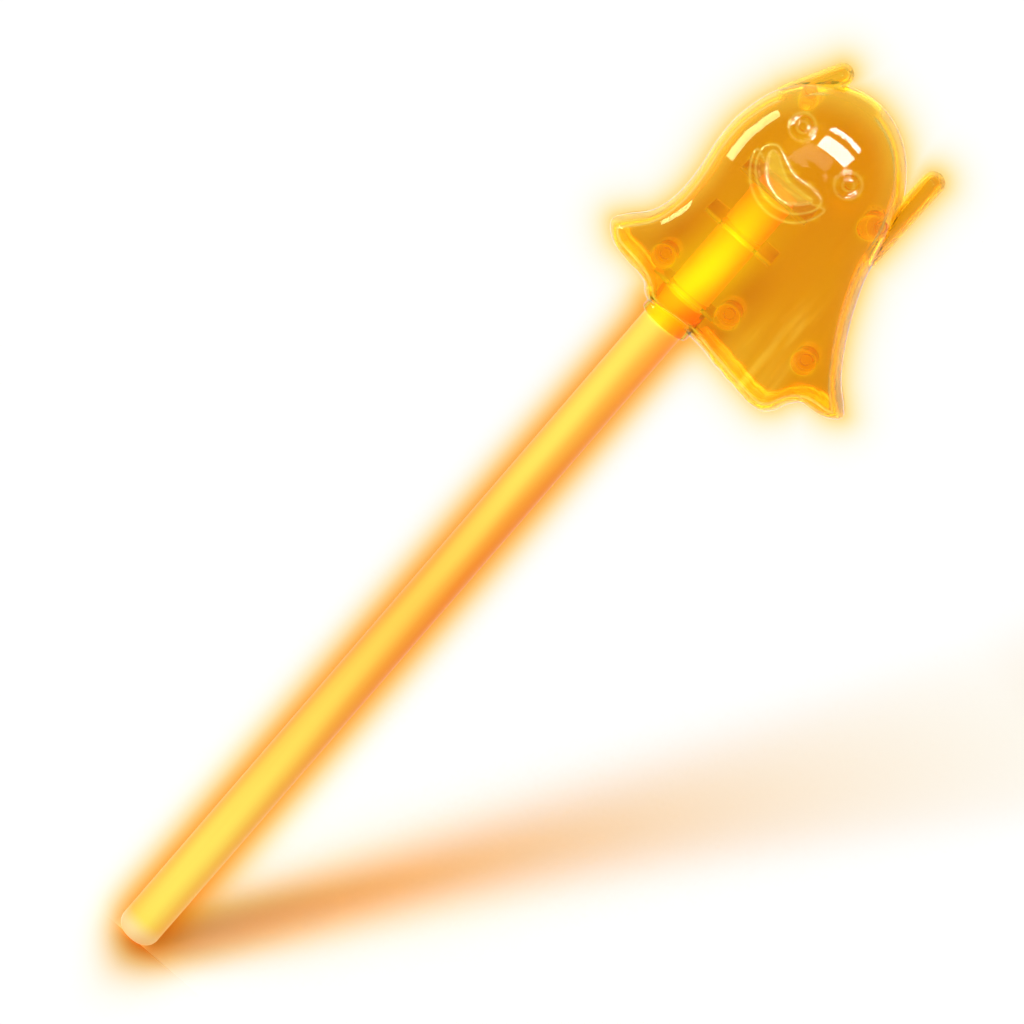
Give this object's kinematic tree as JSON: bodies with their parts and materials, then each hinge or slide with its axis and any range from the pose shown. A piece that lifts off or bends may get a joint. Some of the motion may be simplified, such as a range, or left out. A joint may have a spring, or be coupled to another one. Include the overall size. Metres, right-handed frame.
{
  "type": "light-up wand",
  "caption": "Handheld light-up wand: a long chemical light stick with a hollow translucent two-part ghost pushed over its top.",
  "frame": {"origin": "on the stick's axis in the middle of the hand's grip, 60 mm above the tail's end", "axes": "+Z along the stick towards the ghost, -Y the way the ghost faces, +X to the right as it is seen from the front"},
  "size_m": [0.1006, 0.0458, 0.3822],
  "materials": {
    "stick_plastic": "translucent, lit from inside",
    "plug_plastic": "translucent",
    "dye": "glowing liquid",
    "activator": "glowing liquid",
    "ampoule_glass": "clear",
    "ghost_amber": "clear amber, polished"
  },
  "bodies": {
    "stick": {"stick_tube": "stick_plastic", "stick_plug": "plug_plastic", "dye_liquid": "dye"},
    "ampoule": {"glass_ampoule": "ampoule_glass", "activator_liquid": "activator"},
    "topper": {"ghost_front": "ghost_amber", "ghost_back": "ghost_amber"}
  },
  "joints": [
    {"name": "topper_pull_off", "type": "slide", "parent": "stick", "child": "topper", "axis": [0, 0, 1], "range_m": [0, 0.06]},
    {"name": "ampoule_shift", "type": "slide", "parent": "stick", "child": "ampoule", "axis": [0, 0, 1], "range_m": [0, 0.012]}
  ]
}
